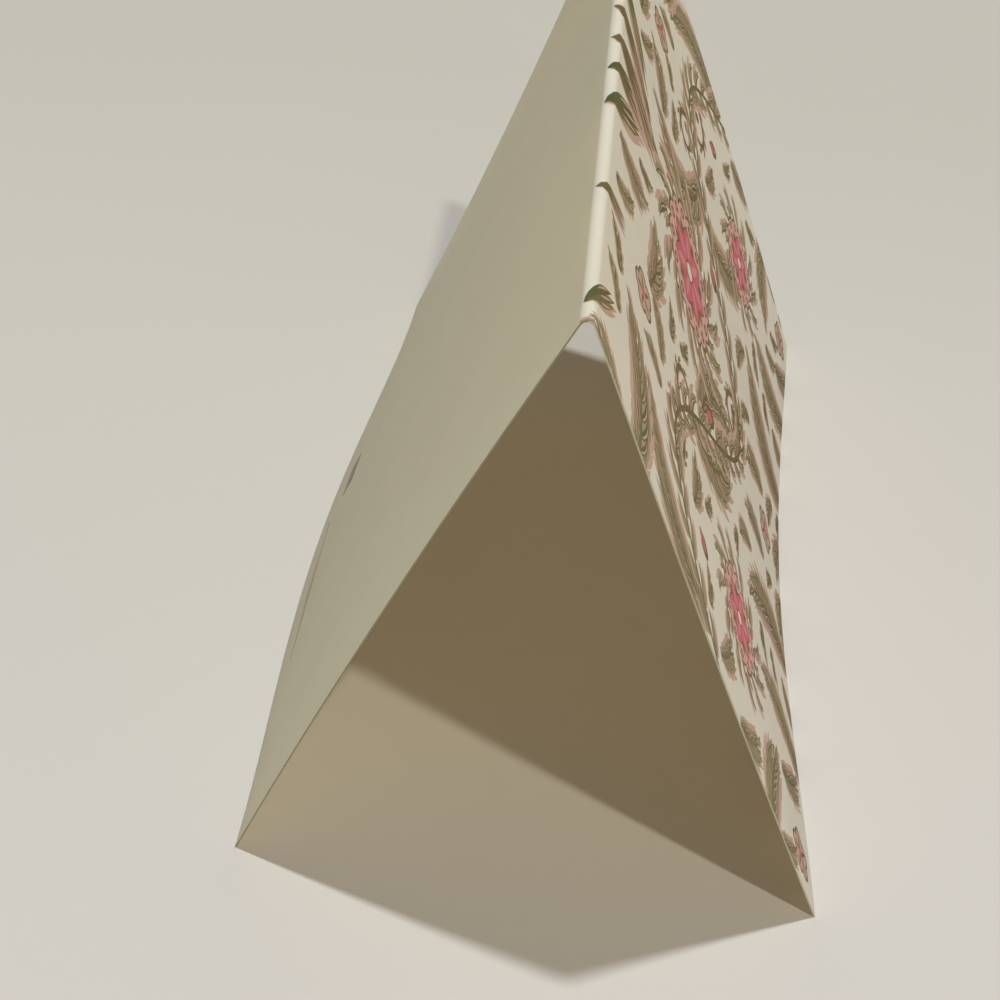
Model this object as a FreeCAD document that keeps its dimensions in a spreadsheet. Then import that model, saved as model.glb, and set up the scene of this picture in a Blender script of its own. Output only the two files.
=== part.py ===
"""A folded greeting card that stands as a tent, with its fold on top.

The card is one sheet, creased once. X runs from the back panel to the front panel, Y along the
fold away from the near end, and Z up. The origin is on the table, midway along the card.
"""

import FreeCAD, Part
import math
import os
import Sketcher

NODE = "folded_card"

# The driving dimensions in millimetres: name, value and what it measures.
SIZES = [
    ("panel_width", 127.4, "each panel, from the top of the fold to its foot, along the sheet"),
    ("fold_length", 178.0, "the sheet along the fold"),
    ("sheet_thickness", 0.3, "the card stock"),
    ("crease_radius", 1.0, "the inside of the fold"),
    ("half_spread", 50.8, "from the fold out to each foot at the near end"),
    ("bend_place", 82.0, "from the near end to where the feet turn"),
    ("fold_drift", 1.5, "how far the fold runs towards the back panel by the far end"),
]

# How far along the fold each section stands, from the near end.
STATIONS = {
    "near": "0",
    "approach": "Sizes.bend_place / 2",
    "bend": "Sizes.bend_place",
    "retreat": "(Sizes.bend_place + Sizes.fold_length) / 2",
    "far": "Sizes.fold_length",
}

# The warp of the sheet, in millimetres at each section in turn. A foot's pull is how much nearer
# to the middle it stands than at the near end, and a panel's bow is how far its middle swells
# outwards.
WARP = {
    "back_pull": (0.0, -0.3, 0.2, 4.4, 8.8),
    "front_pull": (0.0, 2.7, 4.7, 4.1, 1.7),
    "back_bow": (1.1, 1.0, 0.8, -0.4, -1.3),
    "front_bow": (-0.5, -0.3, 0.2, 0.5, 0.9),
}

# Which way each panel lies from the fold.
PANELS = {"back": -1, "front": 1}

# A sketch numbers the places on a line or arc, and its own horizontal axis starts at the origin.
START, END, CENTRE = range(1, 4)
HORIZONTAL_AXIS = -1


def fill_sheet(doc):
    """Writes the driving dimensions, one named cell each."""
    sheet = doc.addObject("Spreadsheet::Sheet", "Sizes")
    rows = list(SIZES)
    for term, values in WARP.items():
        for station, value in zip(STATIONS, values):
            rows.append((f"{term}_{station}", value, f"{term} at the {station} section"))
    for row, (alias, value, note) in enumerate(rows, start=1):
        sheet.set(f"A{row}", alias)
        sheet.set(f"B{row}", str(value))
        sheet.set(f"C{row}", note)
        sheet.setAlias(f"B{row}", alias)
    doc.recompute()
    return sheet


def derive(doc):
    """Works out the sizes that follow from the driving ones."""
    derived = doc.addObject("App::VarSet", "Derived")

    def add(name, formula, kind="App::PropertyFloat"):
        derived.addProperty(kind, name)
        derived.setExpression(name, formula)

    # Rounding a sharp crease lowers the top of the fold and shortens the way over it.
    add("tilt", "asin(Sizes.half_spread / Sizes.panel_width)", "App::PropertyAngle")
    add("outer_crease", "Sizes.crease_radius + Sizes.sheet_thickness")
    add("saved", "outer_crease * (1 / tan(tilt) - (90 deg - tilt) / 1 rad)")
    add("sharp_top", "sqrt((Sizes.panel_width + saved)^2 - Sizes.half_spread^2)")
    add("crease_centre", "sharp_top - outer_crease / sin(tilt)")
    for station, place in STATIONS.items():
        add(f"place_{station}", place)
        add(f"drift_{station}", f"Sizes.fold_drift * place_{station} / Sizes.fold_length")
        for panel in PANELS:
            add(f"{panel}_foot_{station}", f"Sizes.half_spread - Sizes.{panel}_pull_{station}")
            # An arc over a chord of this width rises by the bow at its middle.
            bow = f"Sizes.{panel}_bow_{station}"
            add(f"{panel}_radius_{station}", f"Sizes.panel_width^2 / (8 * abs({bow}))")
    doc.recompute()
    return derived


def meeting(first, first_reach, second, second_reach, side):
    """The point at the given distances from two points, on one side of the line between them."""
    line = second - first
    gap = line.Length
    along = (gap**2 + first_reach**2 - second_reach**2) / (2 * gap)
    across = math.sqrt(first_reach**2 - along**2)
    turned = FreeCAD.Vector(-line.y, line.x, 0)
    return first + (line * along + turned * (side * across)) / gap


def arc(centre, start, end):
    """The arc that runs anticlockwise from one point to another."""
    circle = Part.Circle(centre, FreeCAD.Vector(0, 0, 1), (start - centre).Length)
    return Part.ArcOfCircle(circle, circle.parameter(start), circle.parameter(end))


class Flank:
    """One panel's outer and inner arcs in a section, worked out as the sketch will hold them."""

    def __init__(self, side, swell, radius, foot, crease, outer_crease, thickness):
        reach = radius - swell * outer_crease
        toe = FreeCAD.Vector(side * foot, 0, 0)
        outward = FreeCAD.Vector(side, 0, 0)
        # The sheet stands on the inner corner of its square-cut foot, so the toe is a little
        # higher, and finding how much settles at once.
        for _ in ("first guess", "settled"):
            # A panel that swells has its centre inside the card, and one that sags, outside.
            centre = meeting(crease, reach, toe, radius, -side * swell)
            outward = (toe - centre) * (swell / radius)
            toe.y = thickness * outward.y
        towards_top = (crease - centre).normalize() * swell
        outer_top = crease + towards_top * outer_crease
        inner_top = crease + towards_top * (outer_crease - thickness)
        heel = toe - outward * thickness
        # Arcs run anticlockwise, so the side and the swell say which end is at the fold.
        self.top_end, self.foot_end = (END, START) if side * swell > 0 else (START, END)
        self.outer_top = outer_top
        self.inner_top = inner_top
        self.outer = self.between(centre, outer_top, toe)
        self.inner = self.between(centre, inner_top, heel)
        self.foot = Part.LineSegment(toe, heel)

    def between(self, centre, top, foot):
        return arc(centre, foot, top) if self.top_end == END else arc(centre, top, foot)


def draw_section(body, sizes, derived, station):
    """Sketches the card's section at one station, as a thin closed outline."""
    sketch = body.newObject("Sketcher::SketchObject", f"Section_{station}")
    plane = next(item for item in body.Origin.OriginFeatures if item.Role == "XZ_Plane")
    sketch.AttachmentSupport = [(plane, "")]
    sketch.MapMode = "FlatFace"
    sketch.setExpression("AttachmentOffset.Base.z", f"Sizes.fold_length / 2 - Derived.place_{station}")

    def found(name):
        return getattr(derived, f"{name}_{station}")

    def join(kind, *places):
        sketch.addConstraint(Sketcher.Constraint(kind, *places))

    def measure(kind, name, formula, *places):
        value = float(derived.evalExpression(formula))
        index = sketch.addConstraint(Sketcher.Constraint(kind, *places, value))
        sketch.renameConstraint(index, name)
        sketch.setExpression(f"Constraints.{name}", formula)

    crease = FreeCAD.Vector(-found("drift"), derived.crease_centre, 0)
    flanks = {}
    for panel, side in PANELS.items():
        flanks[panel] = Flank(
            side,
            math.copysign(1, sizes.get(f"{panel}_bow_{station}")),
            found(f"{panel}_radius"),
            found(f"{panel}_foot"),
            crease,
            derived.outer_crease,
            sizes.get("sheet_thickness"),
        )
    outer_fold = sketch.addGeometry(arc(crease, flanks["front"].outer_top, flanks["back"].outer_top))
    inner_fold = sketch.addGeometry(arc(crease, flanks["front"].inner_top, flanks["back"].inner_top))
    join("Coincident", inner_fold, CENTRE, outer_fold, CENTRE)
    measure("Radius", "outer_crease", "Derived.outer_crease", outer_fold)
    measure("Radius", "inner_crease", "Sizes.crease_radius", inner_fold)
    origin = (HORIZONTAL_AXIS, START)
    measure("DistanceX", "drift", f"Derived.drift_{station}", outer_fold, CENTRE, *origin)
    measure("DistanceY", "crease_height", "Derived.crease_centre", *origin, outer_fold, CENTRE)

    for panel, flank in flanks.items():
        outer = sketch.addGeometry(flank.outer)
        inner = sketch.addGeometry(flank.inner)
        foot = sketch.addGeometry(flank.foot)
        fold_end = END if panel == "back" else START
        join("Tangent", outer_fold, fold_end, outer, flank.top_end)
        join("Tangent", inner_fold, fold_end, inner, flank.top_end)
        join("Coincident", inner, CENTRE, outer, CENTRE)
        join("Coincident", foot, START, outer, flank.foot_end)
        join("Coincident", foot, END, inner, flank.foot_end)
        join("Perpendicular", foot, outer)
        join("PointOnObject", foot, END, HORIZONTAL_AXIS)
        measure("Radius", f"{panel}_radius", f"Derived.{panel}_radius_{station}", outer)
        toe = (foot, START)
        reach = origin + toe if panel == "front" else toe + origin
        measure("DistanceX", f"{panel}_foot", f"Derived.{panel}_foot_{station}", *reach)
    return sketch


def build_card(doc):
    """Lofts the one creased sheet through its sections."""
    sizes = fill_sheet(doc)
    derived = derive(doc)
    body = doc.addObject("PartDesign::Body", "FoldedCard")
    body.Label = NODE
    sections = [draw_section(body, sizes, derived, station) for station in STATIONS]
    doc.recompute()
    sheet = body.newObject("PartDesign::AdditiveLoft", "Sheet")
    sheet.Profile = sections[0]
    sheet.Sections = sections[1:]
    sheet.Ruled = False
    body.Placement = FreeCAD.Placement()
    doc.recompute()
    return body


def check(doc, pieces):
    """Stops if an object failed or a piece is not one sound solid."""
    for item in doc.Objects:
        if "Invalid" in item.State or "Error" in item.State:
            raise RuntimeError(f"{item.Name} failed: {item.State}")
    for piece in pieces:
        if piece.Shape.isNull() or not piece.Shape.isValid() or len(piece.Shape.Solids) != 1:
            raise RuntimeError(f"{piece.Label} is not one sound solid")


def main():
    doc = FreeCAD.newDocument("GreetingCard")
    pieces = [build_card(doc)]
    check(doc, pieces)
    os.makedirs("parts", exist_ok=True)
    for piece in pieces:
        piece.Shape.exportStep(f"parts/{piece.Label}.step")
        print(piece.Label, "volume", round(piece.Shape.Volume, 1), "cubic millimetres")


main()
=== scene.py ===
"""The looks of a folded greeting card: printed front, plain back, studio floor and light.

The card is drawn flat first, in millimetres: s runs across the sheet from the top of the fold,
positive on the front panel, and v runs along the fold from the near end. The flat drawing is
then laid over the solid card's own faces.
"""

import math
import random

import bpy
import numpy as np
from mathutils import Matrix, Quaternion, Vector
from mathutils.geometry import delaunay_2d_cdt


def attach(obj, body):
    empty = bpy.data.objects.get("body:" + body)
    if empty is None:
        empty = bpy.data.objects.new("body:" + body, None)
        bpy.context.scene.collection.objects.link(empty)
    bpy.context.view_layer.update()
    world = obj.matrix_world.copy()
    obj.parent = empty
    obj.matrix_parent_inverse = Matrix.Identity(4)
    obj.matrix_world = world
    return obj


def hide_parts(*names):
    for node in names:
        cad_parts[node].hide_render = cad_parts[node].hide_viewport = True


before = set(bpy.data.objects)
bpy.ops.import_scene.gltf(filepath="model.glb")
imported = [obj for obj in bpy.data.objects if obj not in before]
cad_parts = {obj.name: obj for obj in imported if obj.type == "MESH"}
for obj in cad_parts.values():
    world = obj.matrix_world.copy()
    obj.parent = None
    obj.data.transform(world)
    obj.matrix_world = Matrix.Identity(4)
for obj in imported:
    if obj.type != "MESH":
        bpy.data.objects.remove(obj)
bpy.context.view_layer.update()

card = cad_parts["folded_card"]

MM = 0.001

# The card in millimetres, as in the frame.
PANEL = 127.4
LENGTH = 178.0
SHEET = 0.3
FOLD_RADIUS = 1.3
CREASE_HEIGHT = 115.1

# The printed face lies this far within the solid's, so that no part of it stands out.
SKIN_INSET = 0.03

# A panel's outer face is fitted by powers of the place along the fold and of the height, from
# the faces that point far enough sideways and upwards and lie below the crease by a margin.
POWERS_ALONG = 7
POWERS_UP = 3
LEAST_SIDEWAYS = 0.8
LEAST_UPWARDS = 0.2
CREASE_MARGIN = 1
NORMAL_STEP = 0.05

# Papers, inks and one painted shade: linear colour, how much it varies from place to place, and
# how much of the light that meets it goes through.
INKS = {
    "paper": ((0.765, 0.75, 0.60), 0.03, 0.33),
    "ground": ((0.885, 0.855, 0.775), 0.03, 0.33),
    "inside": ((0.90, 0.80, 0.59), 0.03, 1.0),
    "cut_edge": ((0.72, 0.67, 0.50), 0.06, 0.1),
    # The back panel's cut edge: the same paper as cut_edge, painted darker as painted shade.
    "cut_edge_painted_shade": ((0.36, 0.32, 0.20), 0.06, 0.1),
    "mark_grey": ((0.29, 0.27, 0.20), 0.10, 0.1),
    "pale_pink": ((0.77, 0.385, 0.38), 0.08, 0.22),
    "dusty_pink": ((0.60, 0.375, 0.315), 0.10, 0.22),
    "deep_pink": ((0.65, 0.085, 0.175), 0.12, 0.22),
    "rose": ((0.74, 0.225, 0.285), 0.10, 0.22),
    "soft_brown": ((0.315, 0.25, 0.155), 0.15, 0.22),
    "olive_dark": ((0.10, 0.075, 0.03), 0.15, 0.22),
    "leaf_green": ((0.085, 0.13, 0.025), 0.15, 0.22),
    "dark_green": ((0.025, 0.055, 0.012), 0.15, 0.22),
}
INK_NAMES = list(INKS)
CUT_EDGE_COLOURS = ("cut_edge", "cut_edge_painted_shade")
DARK_INKS = ("olive_dark", "olive_dark", "olive_dark", "leaf_green", "dark_green")
GLOW_COLOUR = (1.0, 0.93, 0.75, 1)

# The print runs a little over the fold on to the back panel.
PRINT_START = -1.4

# Grid steps that carry the sheet's own curves.
PANEL_STEP = 3.0
FOLD_STEP = 0.4
FOLD_ALONG_STEP = 2.0
FOLD_BAND = 2.8

# Corners nearer to each other than this become one, and a grid line this near to another is it.
SNAP = 0.002
GRID_SLACK = 0.01

SEED = 7


def powers(y, z):
    """The terms of a smooth surface fitted over a panel."""
    y = y / (LENGTH / 2)
    z = z / CREASE_HEIGHT
    return np.stack([y**i * z**j for i in range(POWERS_ALONG) for j in range(POWERS_UP)], axis=-1)


class Flank:
    """The outer face of one panel as x over (y, z), fitted to the solid card's corners."""

    def __init__(self, side):
        mesh = card.data
        picked = set()
        for face in mesh.polygons:
            faces_out = face.normal.x * side > LEAST_SIDEWAYS and face.normal.z > LEAST_UPWARDS
            if faces_out and face.center.z < (CREASE_HEIGHT - CREASE_MARGIN) * MM:
                picked.update(face.vertices)
        corners = np.array([mesh.vertices[i].co for i in sorted(picked)]) / MM
        terms = powers(corners[:, 1], corners[:, 2])
        self.side = side
        self.factors = np.linalg.lstsq(terms, corners[:, 0], rcond=None)[0]

    def x(self, y, z):
        return powers(y, z) @ self.factors

    def normal(self, y, z):
        """The outward normal, by small steps along and up the panel."""
        step = NORMAL_STEP
        along = (self.x(y + step, z) - self.x(y - step, z)) / (2 * step)
        up = (self.x(y, z + step) - self.x(y, z - step)) / (2 * step)
        normal = np.stack([np.ones_like(along), -along, -up], axis=-1) * self.side
        return normal / np.linalg.norm(normal, axis=-1, keepdims=True)


FLANKS = {-1: Flank(-1), 1: Flank(1)}


def crease_centre(y):
    """The centre of the fold's round at each y, which touches both panels, and their normals."""
    rows = []
    ends = []
    for side, flank in FLANKS.items():
        z = np.full_like(y, CREASE_HEIGHT + CREASE_MARGIN)
        normal = flank.normal(y, z)[:, [0, 2]]
        normal /= np.linalg.norm(normal, axis=-1, keepdims=True)
        rows.append(normal)
        ends.append(normal[:, 0] * flank.x(y, z) + normal[:, 1] * z - FOLD_RADIUS)
    centre = np.linalg.solve(np.stack(rows, axis=1), np.stack(ends, axis=1)[..., None])[..., 0]
    return centre, dict(zip(FLANKS, rows))


def lay(flat):
    """Lays flat points over the card: their places and outward normals, in millimetres."""
    s, y = flat[:, 0], flat[:, 1] - LENGTH / 2
    centre, normals = crease_centre(y)
    places = np.zeros((len(s), 3))
    outward = np.zeros((len(s), 3))
    for side, flank in FLANKS.items():
        mine = s * side >= 0
        reach = np.abs(s)
        lean = np.arctan2(np.abs(normals[side][:, 0]), normals[side][:, 1])
        round_part = mine & (reach < FOLD_RADIUS * lean)
        turn = reach / FOLD_RADIUS
        direction = np.stack([side * np.sin(turn), np.zeros_like(turn), np.cos(turn)], axis=-1)
        middle = np.stack([centre[:, 0], y, centre[:, 1]], axis=-1)
        places[round_part] = (middle + FOLD_RADIUS * direction)[round_part]
        outward[round_part] = direction[round_part]
        flat_part = mine & ~round_part
        top = centre[:, 1] + FOLD_RADIUS * normals[side][:, 1]
        toe = SHEET * flank.normal(y, np.zeros_like(y))[:, 2]
        share = (reach - FOLD_RADIUS * lean) / (PANEL - FOLD_RADIUS * lean)
        z = top + (toe - top) * share
        face = np.stack([flank.x(y, z), y, z], axis=-1)
        places[flat_part] = face[flat_part]
        outward[flat_part] = flank.normal(y, z)[flat_part]
    return places, outward


# Filled outlines in the order that they are laid on, each with its ink.
shapes = []

rng = random.Random(SEED)

# The fewest points on a path or a disc, and the finest step along a path.
PATH_POINTS = 5
DISC_POINTS = 8
COMMA_STEP = 0.8
BLADE_STEP = 0.9
# How finely strokes, rims and petals are divided.
COMMA_PARTS = 7
BLADE_PARTS = 10
DISC_DETAIL = 6
LOBE_POINTS = 6
PETAL_POINTS = 9
# What shapes the strokes: how full a comma is and how blunt its head, how far towards its start
# a leaf is widest, how sharp leaves and petals end, and the least width of any stroke.
COMMA_FULLNESS = 2.6
COMMA_HEAD = 0.02
LEAF_SKEW = 0.8
BLADE_POINT = 0.8
PETAL_POINT = 0.65
HAIRLINE = 0.04


def draw(ink, outline):
    outline = np.array(outline, float)
    outline[:, 0] = np.maximum(outline[:, 0], PRINT_START)
    shapes.append((ink, outline))


def pick(inks):
    """One of the inks, at random where there are several."""
    return rng.choice(inks) if len(inks) > 1 else inks[0]


def toward(place, heading, distance):
    return np.asarray(place, float) + distance * np.array([math.cos(heading), math.sin(heading)])


def ring_of(count, turn=0.0):
    """Headings spaced evenly all round."""
    return [turn + 2 * math.pi * k / count for k in range(count)]


def wind(start, heading, length, turn, tighten=1.0, step=1.0):
    """A path that sets off at a heading and turns by an angle, later the faster if tightened."""
    count = max(PATH_POINTS, int(length / step))
    share = (np.arange(count) + 0.5) / count
    headings = heading + turn * share**tighten
    steps = np.stack([np.cos(headings), np.sin(headings)], axis=-1) * (length / count)
    return np.vstack([[start], start + np.cumsum(steps, axis=0)])


def headings_of(path):
    ahead = np.gradient(path, axis=0)
    return np.arctan2(ahead[:, 1], ahead[:, 0])


def ribbon(ink, path, widths):
    """A stroke along a path, as wide as given at each point."""
    headings = headings_of(path)
    across = np.stack([-np.sin(headings), np.cos(headings)], axis=-1)
    across *= np.reshape(widths, (-1, 1)) / 2
    draw(ink, np.vstack([path + across, (path - across)[::-1]]))


def stem(ink, path, width, thin=0.4):
    """A stroke that thins towards its end."""
    ribbon(ink, path, np.linspace(width, width * thin, len(path)))


def comma(ink, start, heading, length, width, turn):
    """A drop with a full head near its start and a curved, pointed tail."""
    path = wind(start, heading, length, turn, step=max(COMMA_STEP, length / COMMA_PARTS))
    t = np.linspace(0, 1, len(path))
    ribbon(ink, path, width * COMMA_FULLNESS * (1 - t) * np.sqrt(t + COMMA_HEAD) + HAIRLINE)


def blade(ink, start, heading, length, width, turn):
    """A long leaf, pointed at both ends."""
    path = wind(start, heading, length, turn, step=max(BLADE_STEP, length / BLADE_PARTS))
    t = np.linspace(0, 1, len(path))
    ribbon(ink, path, width * np.sin(math.pi * t**LEAF_SKEW) ** BLADE_POINT + HAIRLINE)


def disc(ink, centre, radius):
    count = max(DISC_POINTS, int(radius * DISC_DETAIL))
    draw(ink, [toward(centre, heading, radius) for heading in ring_of(count)])


def scallop(ink, centre, radius, depth, lobes, turn):
    """A round with a wavy rim."""
    outline = []
    for heading in ring_of(lobes * LOBE_POINTS, turn):
        reach = radius + depth * abs(math.sin(lobes * (heading - turn) / 2))
        outline.append(toward(centre, heading, reach))
    draw(ink, outline)


def petal(ink, centre, heading, inner, outer, width):
    """A round-ended petal that points away from a centre."""
    t = np.linspace(0, 1, PETAL_POINTS)
    half = width / 2 * np.sin(math.pi * t**LEAF_SKEW) ** PETAL_POINT
    along, across = (np.array([math.cos(a), math.sin(a)]) for a in (heading, heading + math.pi / 2))
    spine = np.asarray(centre) + np.outer(inner + (outer - inner) * t, along)
    side = np.outer(half, across)
    draw(ink, np.vstack([spine + side, (spine - side)[::-1]]))


# A feather's layers: its inks, how far it leans, and its place along the feather, length, width
# and turn as shares of the feather's own. Only feathers wider than the last value have the layer.
FEATHER_LAYERS = (
    (("dusty_pink",), -0.24, 0, 1.05, 1.05, 1, 0),
    (("soft_brown",), 0, 0, 1, 1, 1, 0),
    (DARK_INKS, 0.05, 0, 0.98, 0.5, 1.1, 0),
    (("dusty_pink",), 0.08, 0.1, 0.7, 0.13, 1, 1.2),
)


def draw_feathers(feathers):
    """Curved drops in a middle brown: a pink one behind each, and a dark, veined one upon it."""
    for inks, lean, place, long, wide, curl, least in FEATHER_LAYERS:
        for start, heading, length, width, turn in feathers:
            if width > least:
                root = toward(start, heading, length * place)
                leaning = heading + lean * math.copysign(1, turn)
                comma(pick(inks), root, leaning, length * long, width * wide, turn * curl)


# A plume's feathers: how close together they grow, how far they splay and curl, how wide they
# are to their length, how much their length varies, and the one at the tip. Lengths swell and
# fall as part of a half wave does, from its start over its span, and so does the body's width.
FEATHER_SPACING = 0.34
FEATHER_SPLAY = 0.85
FEATHER_CURL = -1.0
FEATHER_WIDTH = 0.27
FEATHER_RANGE = (0.95, 1.1)
FEATHER_SWELL = (0.25, 0.62)
LEAST_PAIRS = 3
TIP_LENGTH = 0.6
TIP_WIDTH = 0.2
TIP_TURN = 0.3
BODY_SWELL = (0.25, 0.95)
BODY_WIDTH = 0.55
PLUME_STEM = 0.12
PLUME_TIGHTEN = 1.2


def plume(start, heading, length, turn, size):
    """A curved stem with pairs of feathers, smaller towards the tip."""
    path = wind(start, heading, length, turn, PLUME_TIGHTEN)
    headings = headings_of(path)
    pairs = max(LEAST_PAIRS, int(length / (size * FEATHER_SPACING)))
    swell_start, swell_span = FEATHER_SWELL
    feathers = []
    for k in range(pairs):
        share = (k + 0.5) / pairs
        index = int(share * (len(path) - 1))
        swell = math.sin(math.pi * (swell_start + swell_span * share))
        reach = size * swell * rng.uniform(*FEATHER_RANGE)
        for side in (-1, 1):
            splayed = headings[index] + side * FEATHER_SPLAY
            feathers.append((path[index], splayed, reach, reach * FEATHER_WIDTH, side * FEATHER_CURL))
    feathers.append((path[-1], headings[-1], size * TIP_LENGTH, size * TIP_WIDTH, TIP_TURN))
    body = np.sin(math.pi * np.linspace(*BODY_SWELL, len(path)))
    ribbon("soft_brown", path, size * BODY_WIDTH * body)
    draw_feathers(feathers)
    stem("olive_dark", path, size * PLUME_STEM)


# A blade's layers: its inks, how far it leans, how much of the turn that it has taken, and its
# place along the blade, length and turn as shares of the blade's own. The width is to the tuft.
BLADE_LAYERS = (
    (("dusty_pink",), -0.09, 0, 0, 1, 0.12, 1),
    (DARK_INKS, 0, 0, 0, 0.97, 0.095, 1),
    (("dusty_pink",), 0, 0.35, 0.35, 0.5, 0.022, 0.6),
)
# The outer blades of a tuft are shorter and turn outwards, each a little by chance.
OUTER_SHORTENING = 0.9
OUTER_TURN = 1.2
BLADE_RANGE = (0.85, 1.1)
TURN_RANGE = (-0.15, 0.15)


def tuft(start, heading, count, length, fan):
    """Long blades that fan out from one root."""
    blades = []
    for k in range(count):
        share = (k + 0.5) / count - 0.5
        reach = length * (1 - OUTER_SHORTENING * share**2) * rng.uniform(*BLADE_RANGE)
        turn = -share * OUTER_TURN + rng.uniform(*TURN_RANGE)
        blades.append((heading + share * fan, reach, turn))
    for inks, lean, turned, place, long, wide, curl in BLADE_LAYERS:
        for direction, reach, turn in blades:
            root = toward(start, direction, reach * place)
            leaning = direction + lean + turn * turned
            blade(pick(inks), root, leaning, reach * long, length * wide, turn * curl)


# A tendril's feathers: ink, lean, and length and width to the tendril's own width.
TENDRIL_FEATHERS = (("soft_brown", 0.9, 2.4, 0.8), ("olive_dark", 0.8, 2.2, 0.5))
TENDRIL_CURL = 0.9
TENDRIL_STEMS = (("dusty_pink", 1.5), ("olive_dark", 1))
TENDRIL_THIN = 0.6
TENDRIL_KNOB = 0.9
TENDRIL_TIGHTEN = 1.7
TENDRIL_WIDTH = 1.6
# The path's points that carry feathers: the first, how many stay bare at the end, and the step.
TENDRIL_POINTS = (2, 4, 3)


def tendril(start, heading, length, turn):
    """A line that winds up into a spiral, with small feathers along its outer side."""
    path = wind(start, heading, length, turn, TENDRIL_TIGHTEN)
    headings = headings_of(path)
    side = -math.copysign(1, turn)
    width = TENDRIL_WIDTH
    first, bare, step = TENDRIL_POINTS
    for k in range(first, len(path) - bare, step):
        for ink, lean, long, wide in TENDRIL_FEATHERS:
            comma(ink, path[k], headings[k] + side * lean, width * long, width * wide, -side * TENDRIL_CURL)
    for ink, wide in TENDRIL_STEMS:
        stem(ink, path, width * wide, TENDRIL_THIN)
    disc("olive_dark", path[-1], width * TENDRIL_KNOB)


# A blossom, with every size to its radius. Feathers: how many to a petal, how far out and how
# long. Rims: ink, radius and depth. Beads: ink and radius, all as far out as each other. Sepals
# and petals: ink, inner and outer end, and width. Heart: ink and radius.
BLOSSOM_FEATHERS = ((2, 1.5, 1.0), (3, 1.25, 0.66))
BLOSSOM_FEATHER_LEAN = 0.35
BLOSSOM_FEATHER_WIDTH = 0.3
BLOSSOM_FEATHER_TURN = 0.9
BLOSSOM_RIMS = (("olive_dark", 1.28, 0.15), ("pale_pink", 1.21, 0.13))
BLOSSOM_BEADS = (("olive_dark", 0.12), ("pale_pink", 0.05))
BEAD_PLACE = 1.14
BLOSSOM_SEPALS = (("soft_brown", 0.3, 1.02, 0.40), ("olive_dark", 0.35, 0.94, 0.2))
BLOSSOM_PETALS = (
    ("olive_dark", 0, 1.02, 0.70),
    ("deep_pink", 0, 0.97, 0.62),
    ("rose", 0.25, 0.85, 0.2),
)
BLOSSOM_HEART = (("olive_dark", 0.22), ("ground", 0.18))


def blossom(centre, radius, petals, turn):
    """A rosette in a scalloped ring, with two rounds of feathers."""
    for to_petal, place, long in BLOSSOM_FEATHERS:
        feathers = []
        for heading in ring_of(petals * to_petal, turn + place):
            root = toward(centre, heading, radius * place)
            width = radius * long * BLOSSOM_FEATHER_WIDTH
            leaning = heading + BLOSSOM_FEATHER_LEAN
            feathers.append((root, leaning, radius * long, width, BLOSSOM_FEATHER_TURN))
        draw_feathers(feathers)
    for ink, reach, depth in BLOSSOM_RIMS:
        scallop(ink, centre, radius * reach, radius * depth, petals * 2, turn)
    for heading in ring_of(petals * 2, turn + math.pi / petals / 2):
        for ink, size in BLOSSOM_BEADS:
            disc(ink, toward(centre, heading, radius * BEAD_PLACE), radius * size)
    for heading in ring_of(petals, turn + math.pi / petals):
        for ink, inner, outer, width in BLOSSOM_SEPALS:
            petal(ink, centre, heading, radius * inner, radius * outer, radius * width)
    for ink, inner, outer, width in BLOSSOM_PETALS:
        for heading in ring_of(petals, turn):
            petal(ink, centre, heading, radius * inner, radius * outer, radius * width)
    for ink, size in BLOSSOM_HEART:
        disc(ink, centre, radius * size)


# A small flower, with every size to its radius: its lobes' inks and radii, how far out they
# are, the dark stroke in each (place, length, width and turn), and its heart.
FLOWER_LOBES = 5
FLOWER_LAYERS = (("olive_dark", 0.56), ("dusty_pink", 0.42))
LOBE_PLACE = 0.6
FLOWER_STROKE = (0.2, 0.7, 0.2, 0.3)
FLOWER_HEART = 0.26


def small_flower(centre, radius, turn):
    """A five-petalled flower with a deep heart."""
    for ink, size in FLOWER_LAYERS:
        for heading in ring_of(FLOWER_LOBES, turn):
            disc(ink, toward(centre, heading, radius * LOBE_PLACE), radius * size)
    place, long, wide, curl = FLOWER_STROKE
    for heading in ring_of(FLOWER_LOBES, turn):
        root = toward(centre, heading, radius * place)
        comma("olive_dark", root, heading, radius * long, radius * wide, curl)
    disc("deep_pink", centre, radius * FLOWER_HEART)


# A bud, to its size: the cup's leaves (lean, length, width and turn) and its petals' layers.
BUD_LEAF = (0.8, 0.95, 0.26, 0.9)
BUD_LAYERS = (("olive_dark", 0.1, 1.2, 0.56), ("deep_pink", 0.2, 1.1, 0.42))


def bud(start, heading, size):
    """A closed bud in a green cup."""
    lean, long, wide, curl = BUD_LEAF
    for side in (-1, 1):
        comma("dark_green", start, heading + side * lean, size * long, size * wide, side * -curl)
    for ink, inner, outer, width in BUD_LAYERS:
        petal(ink, start, heading, size * inner, size * outer, size * width)


# The trailing vine swings from side to side, with a blossom in each bay.
VINE_MIDDLE = 66.0
VINE_SWING = 24.0
VINE_WAVE = 118.0
VINE_STEP = 1.5
VINE_WIDTH = 1.1
VINE_OVERRUN = 3
# The vine's feathers: the first, how far apart, how far each of a pair stands from the middle,
# lean and turn, the range of their lengths, and their width.
VINE_FEATHER_START = 2
VINE_FEATHER_STEP = 5.0
VINE_FEATHER_OFFSET = 1.2
VINE_FEATHER_LEAN = 0.9
VINE_FEATHER_RANGE = (7, 10)
VINE_FEATHER_WIDTH = 2.6
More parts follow.
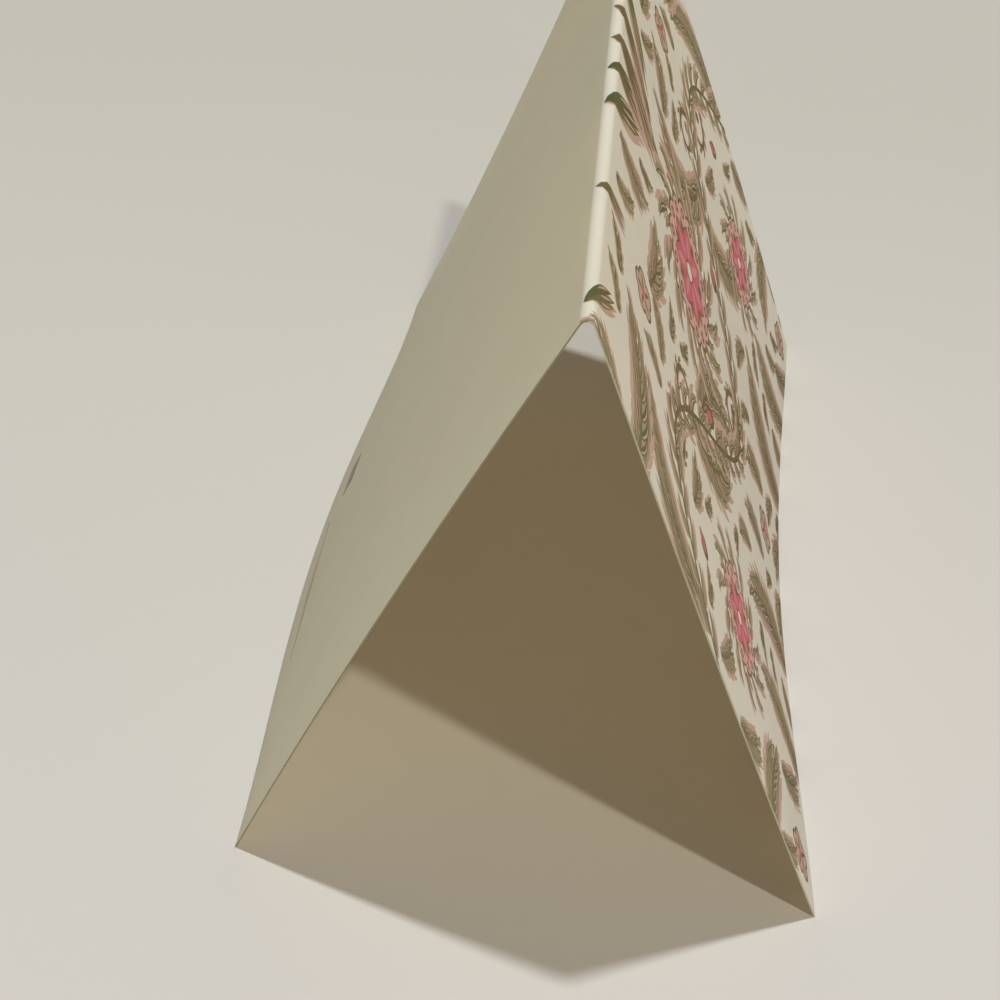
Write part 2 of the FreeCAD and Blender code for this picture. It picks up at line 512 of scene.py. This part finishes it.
# Blossoms and small flowers: centre, radius, petals and turn.
BLOSSOMS = (
    ((49.0, 89.0), 11.0, 7, 0.1),
    ((84.0, 30.0), 7.5, 6, 0.3),
    ((84.0, 148.0), 7.5, 6, 0.9),
)
SMALL_FLOWERS = (
    ((22, 40), 4.4, 0.7),
    ((22, 138), 4.4, 0.1),
    ((113, 89), 4.6, 0.2),
    ((120, 8), 4.4, 0.5),
    ((120, 170), 4.4, 0.9),
)
# Buds: root, heading and size.
BUDS = (((68, 67), -2.4, 6), ((68, 111), 2.4, 6), ((62, 20), 2.6, 5), ((62, 158), -2.6, 5))
# Plumes that leave the vine: place along it, side, length, turn and size.
VINE_PLUMES = (
    (4, 1, 38, -1.2, 11.0),
    (48, -1, 40, 1.9, 12.0),
    (54, 1, 38, -1.4, 11.0),
    (124, 1, 38, 1.4, 11.0),
    (130, -1, 40, -1.9, 12.0),
    (174, -1, 38, 1.2, 11.0),
)
PLUME_LEAN = 0.8
# Plumes that leave the sheet's edges: root, heading, length, turn and size.
EDGE_PLUMES = (
    ((130, 62), 3.0, 34, 0.9, 12.0),
    ((130, 116), 3.3, 34, -0.9, 12.0),
    ((130, 33), 2.7, 26, 0.7, 10.0),
    ((130, 145), 3.6, 26, -0.7, 10.0),
    ((22, -6), 1.3, 32, 0.9, 11.0),
    ((22, 184), -1.3, 32, -0.9, 11.0),
    ((100, -6), 1.6, 24, -0.6, 10.0),
    ((100, 184), -1.6, 24, 0.6, 10.0),
)
# Tendrils: place along the vine, side, length and turn.
TENDRILS = (
    (24, -1, 30, 6.0),
    (40, 1, 28, -6.2),
    (82, 1, 30, -6.2),
    (96, 1, 30, 6.2),
    (138, 1, 28, 6.2),
    (154, -1, 30, -6.0),
)
TENDRIL_LEAN = 1.2
# Tufts that grow out of the fold: place along it, heading, count, length and fan.
FOLD_TUFTS = (
    (5, 0.9, 3, 16, 0.7),
    (38, 0.3, 3, 14, 0.8),
    (66, 0.7, 4, 24, 0.8),
    (79, 0.4, 4, 27, 0.8),
    (91, 0.0, 5, 29, 0.9),
    (104, -0.4, 4, 27, 0.8),
    (117, -0.7, 4, 24, 0.8),
    (150, -0.5, 4, 18, 0.9),
)
TUFT_ROOT = -1.0


def vine_at(v):
    """The vine's middle line."""
    wave = math.cos(2 * math.pi * (v - LENGTH / 2) / VINE_WAVE)
    return np.array([VINE_MIDDLE + VINE_SWING * wave, v])


def vine_heading(v):
    ahead = vine_at(v + 0.5) - vine_at(v - 0.5)
    return math.atan2(ahead[1], ahead[0])


def draw_vine():
    feathers = []
    for v in np.arange(VINE_FEATHER_START, LENGTH, VINE_FEATHER_STEP):
        for side in (-1, 1):
            root = vine_at(v + side * VINE_FEATHER_OFFSET)
            lean = side * VINE_FEATHER_LEAN
            long = rng.uniform(*VINE_FEATHER_RANGE)
            feathers.append((root, vine_heading(v) + lean, long, VINE_FEATHER_WIDTH, -lean))
    draw_feathers(feathers)
    line = np.arange(-VINE_OVERRUN, LENGTH + VINE_OVERRUN, VINE_STEP)
    ribbon("olive_dark", np.array([vine_at(v) for v in line]), np.full(len(line), VINE_WIDTH))


def draw_plumes():
    """Plumes and tendrils that leave the vine or the sheet's edges and curl round the blossoms."""
    for v, side, length, turn, size in VINE_PLUMES:
        direction = math.pi if v > LENGTH / 2 else 0.0
        plume(vine_at(v), vine_heading(v) + direction + side * PLUME_LEAN, length, turn, size)
    for start, heading, length, turn, size in EDGE_PLUMES:
        plume(start, heading, length, turn, size)
    for v, side, length, turn in TENDRILS:
        tendril(vine_at(v), vine_heading(v) + side * TENDRIL_LEAN, length, turn)


# Filling: the grid of places that are tried, how far each may stray, where it starts, and how
# much room each round asks for. A filling plume starts behind its place and is sized to the room.
FILL_GRID = 3.4
FILL_START = (9.0, 1)
FILL_STRAY = (-1, 1)
FILL_ROOMS = (8.0, 6.0, 4.8, 3.9)
FILL_BACK = -0.9
FILL_LENGTH = 1.7
FILL_TURN = 0.8
FILL_SIZE = 0.9
# A filling plume's heading sways by this much and over this length, across and along the sheet.
SWAY_ACROSS = (1.9, 21)
SWAY_ALONG = (1.4, 27)
SWAY_STRAY = (-0.4, 0.4)


def sway(place):
    """The heading of a filling plume at a place."""
    across, across_wave = SWAY_ACROSS
    along, along_wave = SWAY_ALONG
    steady = across * math.sin(place[0] / across_wave) + along * math.cos(place[1] / along_wave)
    return steady + rng.uniform(*SWAY_STRAY)


def fill_gaps():
    """Plumes wherever the ground would stay bare, the larger where there is more room."""
    inked = np.vstack([outline for _, outline in shapes])
    first_s, first_v = FILL_START
    places = [
        (s + rng.uniform(*FILL_STRAY), v + rng.uniform(*FILL_STRAY))
        for v in np.arange(first_v, LENGTH, FILL_GRID)
        for s in np.arange(first_s, PANEL, FILL_GRID)
    ]
    for least in FILL_ROOMS:
        rng.shuffle(places)
        for place in places:
            room = np.sqrt(((inked - place) ** 2).sum(axis=1).min())
            if room < least:
                continue
            count = len(shapes)
            heading = sway(place)
            root = toward(place, heading, room * FILL_BACK)
            plume(root, heading, room * FILL_LENGTH, FILL_TURN, room * FILL_SIZE)
            inked = np.vstack([inked, *(outline for _, outline in shapes[count:])])


def draw_print():
    """The front panel's print."""
    draw_plumes()
    for v, heading, count, length, fan in FOLD_TUFTS:
        tuft((TUFT_ROOT, v), heading, count, length, fan)
    draw_vine()
    for centre, radius, petals, turn in BLOSSOMS:
        blossom(centre, radius, petals, turn)
    for centre, radius, turn in SMALL_FLOWERS:
        small_flower(centre, radius, turn)
    for start, heading, size in BUDS:
        bud(start, heading, size)
    fill_gaps()


# A plain bar and a thin rule near the foot of the back panel: where each starts and ends, in s
# and then in v.
MARKS = ((-115.2, -110.0, 86.2, 96.4), (-121.0, -120.5, 42.0, 84.0))


def draw_marks():
    for low, high, near, far in MARKS:
        outline = np.array([(low, near), (high, near), (high, far), (low, far)])
        shapes.append(("mark_grey", outline))


def steps(low, high, size):
    return np.linspace(low, high, max(2, round((high - low) / size) + 1))


def across_steps():
    """Places across the sheet: wide apart on the panels and close together over the fold."""
    panel = steps(FOLD_BAND, PANEL, PANEL_STEP)
    return np.concatenate([-panel[::-1], steps(-FOLD_BAND, FOLD_BAND, FOLD_STEP)[1:-1], panel])


def inner_points():
    """Points within the sheet that carry its curves."""
    found = []
    panel_s = [s for s in across_steps() if FOLD_BAND - GRID_SLACK < abs(s) < PANEL - GRID_SLACK]
    fold_s = [s for s in across_steps() if abs(s) < FOLD_BAND - GRID_SLACK]
    for places, step in ((panel_s, PANEL_STEP), (fold_s, FOLD_ALONG_STEP)):
        found += [(s, v) for s in places for v in steps(0, LENGTH, step)[1:-1]]
    return found


def sheet_rim():
    """Points round the sheet's edge."""
    across = across_steps()
    along = steps(0, LENGTH, PANEL_STEP)
    rim = [(s, 0.0) for s in across[:-1]]
    rim += [(PANEL, v) for v in along[:-1]]
    rim += [(s, LENGTH) for s in across[:0:-1]]
    rim += [(-PANEL, v) for v in along[:0:-1]]
    return rim


def loops(outlines):
    """The corners of closed outlines, and the edges that join them."""
    points = []
    edges = []
    for outline in outlines:
        first = len(points)
        points += [tuple(p) for p in outline]
        edges += [(first + k, first + (k + 1) % len(outline)) for k in range(len(outline))]
    return points, edges


def triangulate(points, edges):
    """Triangles of the sheet, none of which crosses an edge."""
    places, _, found, *_ = delaunay_2d_cdt([Vector(p) for p in points], edges, [], 0, SNAP)
    places = np.array([(p.x, p.y) for p in places])
    triangles = np.array([list(face) for face in found])
    middles = places[triangles].mean(axis=1)
    within = (np.abs(middles[:, 0]) < PANEL) & (middles[:, 1] > 0) & (middles[:, 1] < LENGTH)
    return places, triangles[within]


def encloses(outline, points):
    """Whether each point lies inside a closed outline, by the turns that it makes round it."""
    start, end = outline, np.roll(outline, -1, axis=0)
    s, v = points[:, :1], points[:, 1:]
    left = (end[:, 0] - start[:, 0]) * (v - start[:, 1]) > (s - start[:, 0]) * (end[:, 1] - start[:, 1])
    rising = (start[:, 1] <= v) & (end[:, 1] > v) & left
    falling = (start[:, 1] > v) & (end[:, 1] <= v) & ~left
    return rising.sum(axis=1) != falling.sum(axis=1)


def topmost(middles):
    """The number of the last outline drawn round each point, or -1 where there is none."""
    top = np.full(len(middles), -1)
    order = np.argsort(middles[:, 1])
    rows = middles[order]
    for number, (_, outline) in enumerate(shapes):
        low, high = outline.min(axis=0), outline.max(axis=0)
        first, last = np.searchsorted(rows[:, 1], (low[1], high[1]))
        near = order[first:last]
        near = near[(middles[near, 0] > low[0]) & (middles[near, 0] < high[0])]
        top[near[encloses(outline, middles[near])]] = number
    return top


def inks_at(middles):
    """The ink on top at each point of the outer face, as its number in the list."""
    bare = np.where(middles[:, 0] < PRINT_START, INK_NAMES.index("paper"), INK_NAMES.index("ground"))
    drawn = np.array([INK_NAMES.index(ink) for ink, _ in shapes])
    number = topmost(middles)
    return np.where(number < 0, bare, drawn[number])


def ink_edges(triangles, inks):
    """The edges that have another ink on each side, or nothing on one."""
    sides = {}
    for (a, b, c), ink in zip(triangles, inks):
        for edge in ((a, b), (b, c), (c, a)):
            sides.setdefault((min(edge), max(edge)), []).append(ink)
    return [edge for edge, found in sides.items() if len(found) == 1 or found[0] != found[1]]


def renumber(groups):
    """The corners that the groups use, and the groups by those corners' new numbers."""
    used = sorted({corner for group in groups for corner in group})
    number = {old: new for new, old in enumerate(used)}
    return used, [tuple(number[corner] for corner in group) for group in groups]


def rim_of(triangles):
    """The corners round the edge, in order, with the triangles on their left."""
    edges = {}
    for a, b, c in triangles:
        for edge in ((a, b), (b, c), (c, a)):
            edges[edge] = True
    following = {a: b for a, b in edges if (b, a) not in edges}
    start = next(iter(following))
    rim = [start]
    while following[rim[-1]] != start:
        rim.append(following[rim[-1]])
    return rim


def cut_print():
    """The outer face: its flat corners, its triangles and their inks."""
    field = [(PRINT_START, 0), (PANEL, 0), (PANEL, LENGTH), (PRINT_START, LENGTH)]
    outlines = [outline for _, outline in shapes]
    corners, triangles = triangulate(*loops([sheet_rim(), field, *outlines]))
    # Only the lines that show between two inks are cut into the mesh.
    shown = ink_edges(triangles.tolist(), inks_at(corners[triangles].mean(axis=1)).tolist())
    used, shown = renumber(shown)
    corners, triangles = triangulate([*corners[used].tolist(), *inner_points()], shown)
    inks = [INK_NAMES[number] for number in inks_at(corners[triangles].mean(axis=1))]
    used, triangles = renumber(triangles.tolist())
    return corners[used], triangles, inks


def stitch():
    """The outer and inner faces and the cut edge between them, as one closed skin."""
    outside, faces, inks = cut_print()
    rim = rim_of(faces)
    rim_points, rim_edges = loops([outside[rim]])
    inside, lining = triangulate([*rim_points, *inner_points()], rim_edges)
    lining = lining.tolist()
    count = len(outside)
    faces += [tuple(count + corner for corner in reversed(face)) for face in lining]
    inks += ["inside"] * len(lining)
    inner_rim = rim_of(lining)
    shift = int(np.argmin(np.linalg.norm(inside[inner_rim] - outside[rim[0]], axis=1)))
    inner_rim = inner_rim[shift:] + inner_rim[:shift]
    for k in range(len(rim)):
        after = (k + 1) % len(rim)
        faces.append((rim[after], rim[k], count + inner_rim[k], count + inner_rim[after]))
        # The back panel's cut edge gets painted shade, darker than the front panel's cut edge of the same
        # paper.
        inks.append("cut_edge_painted_shade" if outside[rim[k], 0] < 0 else "cut_edge")
    return outside, inside, faces, inks


def build_sheet():
    """One closed mesh: printed outside, plain inside and the cut edge round both, the back panel's cut edge
    painted darker as shade.
    """
    outside, inside, faces, inks = stitch()
    places = []
    normals = []
    for flat, depth, sense in ((outside, SKIN_INSET, 1), (inside, SHEET, -1)):
        laid, outward = lay(flat)
        level = outward * (1, 0, 1)
        level /= np.linalg.norm(level, axis=1, keepdims=True)
        places.append(laid - depth * level)
        normals.append(sense * outward)
    places = np.vstack(places)
    normals = np.vstack(normals)
    places[:, 2] = np.maximum(places[:, 2], 0)
    mesh = bpy.data.meshes.new("card_sheet")
    mesh.from_pydata((places * MM).tolist(), [], faces)
    for name in INK_NAMES:
        mesh.materials.append(ink_material(name))
    mesh.polygons.foreach_set("material_index", [INK_NAMES.index(ink) for ink in inks])
    mesh.polygons.foreach_set("use_smooth", [True] * len(faces))
    mesh.update()
    loop_normals = []
    for polygon in mesh.polygons:
        if INK_NAMES[polygon.material_index] in CUT_EDGE_COLOURS:
            loop_normals += [polygon.normal[:]] * polygon.loop_total
        else:
            loop_normals += [tuple(normals[i]) for i in polygon.vertices]
    mesh.normals_split_custom_set(loop_normals)
    sheet = bpy.data.objects.new("card_sheet", mesh)
    bpy.context.scene.collection.objects.link(sheet)
    return sheet


# What paper and ink have in common: the shader's own values, a soft mottle between two tones,
# and a fine tooth that stands out by a twentieth of a millimetre.
PAPER_FINISH = {"Roughness": 0.75, "Specular IOR Level": 0.2}
PAPER_MOTTLE = {"Scale": 60, "Detail": 6, "Roughness": 0.7}
MOTTLE_ENDS = (0.3, 0.7)
PAPER_TOOTH = {"Scale": 2600, "Detail": 4}
TOOTH_BUMP = {"Strength": 0.12, "Distance": 0.00005}


def add_node(nodes, kind, values=()):
    """A new node with the given values on its inputs."""
    node = nodes.new(kind)
    for name, value in dict(values).items():
        node.inputs[name].default_value = value
    return node


def new_material(name, finish):
    """A new material, its nodes and links, and its shader with the given finish."""
    material = bpy.data.materials.new(name)
    material.use_nodes = True
    nodes = material.node_tree.nodes
    shader = nodes["Principled BSDF"]
    for socket, value in finish.items():
        shader.inputs[socket].default_value = value
    return material, nodes, material.node_tree.links, shader


def ink_material(name):
    """Paper, ink or the cut edge's painted shade: a faintly mottled colour over the card's fine tooth."""
    colour, mottle, through = INKS[name]
    material, nodes, links, shader = new_material(name, PAPER_FINISH)
    glow = add_node(nodes, "ShaderNodeBsdfTranslucent", {"Color": GLOW_COLOUR})
    both = add_node(nodes, "ShaderNodeMixShader", {"Fac": through})
    links.new(shader.outputs["BSDF"], both.inputs[1])
    links.new(glow.outputs["BSDF"], both.inputs[2])
    links.new(both.outputs["Shader"], nodes["Material Output"].inputs["Surface"])
    place = nodes.new("ShaderNodeTexCoord")

    cloud = add_node(nodes, "ShaderNodeTexNoise", PAPER_MOTTLE)
    links.new(place.outputs["Object"], cloud.inputs["Vector"])
    ramp = nodes.new("ShaderNodeValToRGB")
    for element, end, sense in zip(ramp.color_ramp.elements, MOTTLE_ENDS, (-1, 1)):
        element.position = end
        element.color = [min(1, c * (1 + sense * mottle)) for c in colour] + [1]
    links.new(cloud.outputs["Fac"], ramp.inputs["Fac"])
    links.new(ramp.outputs["Color"], shader.inputs["Base Color"])

    tooth = add_node(nodes, "ShaderNodeTexNoise", PAPER_TOOTH)
    links.new(place.outputs["Object"], tooth.inputs["Vector"])
    bump = add_node(nodes, "ShaderNodeBump", TOOTH_BUMP)
    links.new(tooth.outputs["Fac"], bump.inputs["Height"])
    links.new(bump.outputs["Normal"], shader.inputs["Normal"])
    return material


# The studio in metres. The floor's colour runs evenly from a lighter one towards the camera to
# a darker one beyond the card, a painted falloff of light, and varies a little from place to place.
FLOOR_FINISH = {"Roughness": 0.9, "Specular IOR Level": 0.1}
FLOOR_CLOUD = {"Scale": 7, "Detail": 3}
FLOOR_VARIATION = {"To Min": 0.985, "To Max": 1.015}
# Painted light and shade: the floor's colour is painted lighter near the camera and darker beyond the card.
PAINTED_FALLOFF_SPAN = {"From Min": -0.14, "From Max": 0.22}
FLOOR_NEAR_PAINTED_LIGHT = (0.668, 0.63, 0.61, 1)
FLOOR_FAR_PAINTED_SHADE = (0.578, 0.545, 0.494, 1)
FLOOR_HALF = 6.0
BACKDROP_COLOUR = (0.62, 0.59, 0.55, 1)
# The soft fill is stronger from the front panel's side.
FILL_COLOUR = (1.05, 1.0, 1.0, 1)
FILL_SLOPE = 0.14
FILL_LEVEL = 0.17
# Lamps: direction, distance, strength on the floor, colour and width in degrees.
LAMPS = {
    "overhead": ((-0.302, 0.609, 4.2), 4.2, 0.562, (0.955, 1.0, 1.02), 2.0),
    "key": ((0.283, -0.375, 0.882), 6.0, 0.247, (1.02, 1.0, 0.79), 2.0),
}
CAMERA_PLACE = Vector((-0.00026, -0.31766, 0.26434))
CAMERA_AIM = Vector((-0.01435, 0.01662, 0.0))
CAMERA_ROLL = math.radians(5.02)
CAMERA_LENS = 71.03
CAMERA_RANGE = (0.01, 50)


def floor_material():
    """A matt pale floor, painted a little lighter towards the camera and darker beyond the card, as painted
    falloff of light.
    """
    material, nodes, links, shader = new_material("studio_floor", FLOOR_FINISH)
    place = nodes.new("ShaderNodeTexCoord")
    cloud = add_node(nodes, "ShaderNodeTexNoise", FLOOR_CLOUD)
    links.new(place.outputs["Object"], cloud.inputs["Vector"])
    variation = add_node(nodes, "ShaderNodeMapRange", FLOOR_VARIATION)
    links.new(cloud.outputs["Fac"], variation.inputs["Value"])
    split = nodes.new("ShaderNodeSeparateXYZ")
    links.new(place.outputs["Object"], split.inputs["Vector"])
    along = add_node(nodes, "ShaderNodeMapRange", PAINTED_FALLOFF_SPAN)
    links.new(split.outputs["Y"], along.inputs["Value"])
    # Painted falloff of light: the floor's colour darkens from near the camera to beyond the card.
    shade = nodes.new("ShaderNodeMix")
    shade.data_type = "RGBA"
    shade.inputs["A"].default_value = FLOOR_NEAR_PAINTED_LIGHT
    shade.inputs["B"].default_value = FLOOR_FAR_PAINTED_SHADE
    links.new(along.outputs["Result"], shade.inputs["Factor"])
    tone = nodes.new("ShaderNodeVectorMath")
    tone.operation = "SCALE"
    links.new(shade.outputs["Result"], tone.inputs[0])
    links.new(variation.outputs["Result"], tone.inputs["Scale"])
    links.new(tone.outputs["Vector"], shader.inputs["Base Color"])
    return material


def build_floor():
    mesh = bpy.data.meshes.new("studio_floor")
    half = FLOOR_HALF
    corners = [(-half, -half, 0), (half, -half, 0), (half, half, 0), (-half, half, 0)]
    mesh.from_pydata(corners, [], [(0, 1, 2, 3)])
    mesh.materials.append(floor_material())
    floor = bpy.data.objects.new("studio_floor", mesh)
    bpy.context.scene.collection.objects.link(floor)


def add_lamp(name, direction, distance, strength, colour, width):
    """A round lamp that gives the floor below the card that strength of light."""
    towards = Vector(direction).normalized()
    lamp = bpy.data.lights.new(name, "AREA")
    lamp.shape = "DISK"
    lamp.size = distance * math.radians(width)
    lamp.color = colour
    lamp.energy = strength / towards.z * (math.pi * distance) ** 2
    holder = bpy.data.objects.new(name, lamp)
    holder.location = towards * distance
    holder.rotation_mode = "QUATERNION"
    holder.rotation_quaternion = towards.to_track_quat("Z", "Y")
    bpy.context.scene.collection.objects.link(holder)


def light_world():
    """A soft fill for the card and floor, and a plain backdrop for the eye and reflections."""
    world = bpy.data.worlds.new("studio")
    bpy.context.scene.world = world
    world.use_nodes = True
    nodes = world.node_tree.nodes
    links = world.node_tree.links
    nodes.clear()
    output = nodes.new("ShaderNodeOutputWorld")
    mix = nodes.new("ShaderNodeMixShader")
    fill = add_node(nodes, "ShaderNodeBackground", {"Color": FILL_COLOUR})
    backdrop = add_node(nodes, "ShaderNodeBackground", {"Color": BACKDROP_COLOUR})
    place = nodes.new("ShaderNodeTexCoord")
    split = nodes.new("ShaderNodeSeparateXYZ")
    side = nodes.new("ShaderNodeMath")
    side.operation = "MULTIPLY_ADD"
    side.inputs[1].default_value = FILL_SLOPE
    side.inputs[2].default_value = FILL_LEVEL
    links.new(place.outputs["Generated"], split.inputs["Vector"])
    links.new(split.outputs["X"], side.inputs[0])
    links.new(side.outputs["Value"], fill.inputs["Strength"])
    path = nodes.new("ShaderNodeLightPath")
    seen = nodes.new("ShaderNodeMath")
    seen.operation = "ADD"
    seen.use_clamp = True
    links.new(path.outputs["Is Camera Ray"], seen.inputs[0])
    links.new(path.outputs["Is Glossy Ray"], seen.inputs[1])
    links.new(seen.outputs["Value"], mix.inputs["Fac"])
    links.new(fill.outputs["Background"], mix.inputs[1])
    links.new(backdrop.outputs["Background"], mix.inputs[2])
    links.new(mix.outputs["Shader"], output.inputs["Surface"])


def place_camera():
    lens = bpy.data.cameras.new("camera")
    lens.lens = CAMERA_LENS
    lens.clip_start, lens.clip_end = CAMERA_RANGE
    camera = bpy.data.objects.new("camera", lens)
    camera.location = CAMERA_PLACE
    camera.rotation_mode = "QUATERNION"
    ahead = (CAMERA_AIM - CAMERA_PLACE).to_track_quat("-Z", "Y")
    camera.rotation_quaternion = ahead @ Quaternion((0, 0, 1), CAMERA_ROLL)
    bpy.context.scene.collection.objects.link(camera)
    bpy.context.scene.camera = camera


draw_print()
draw_marks()
sheet = build_sheet()
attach(sheet, "root")
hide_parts("folded_card")

build_floor()
for lamp_name, settings in LAMPS.items():
    add_lamp(lamp_name, *settings)
light_world()
place_camera()
bpy.context.scene.view_settings.view_transform = "Standard"

bpy.context.view_layer.update()
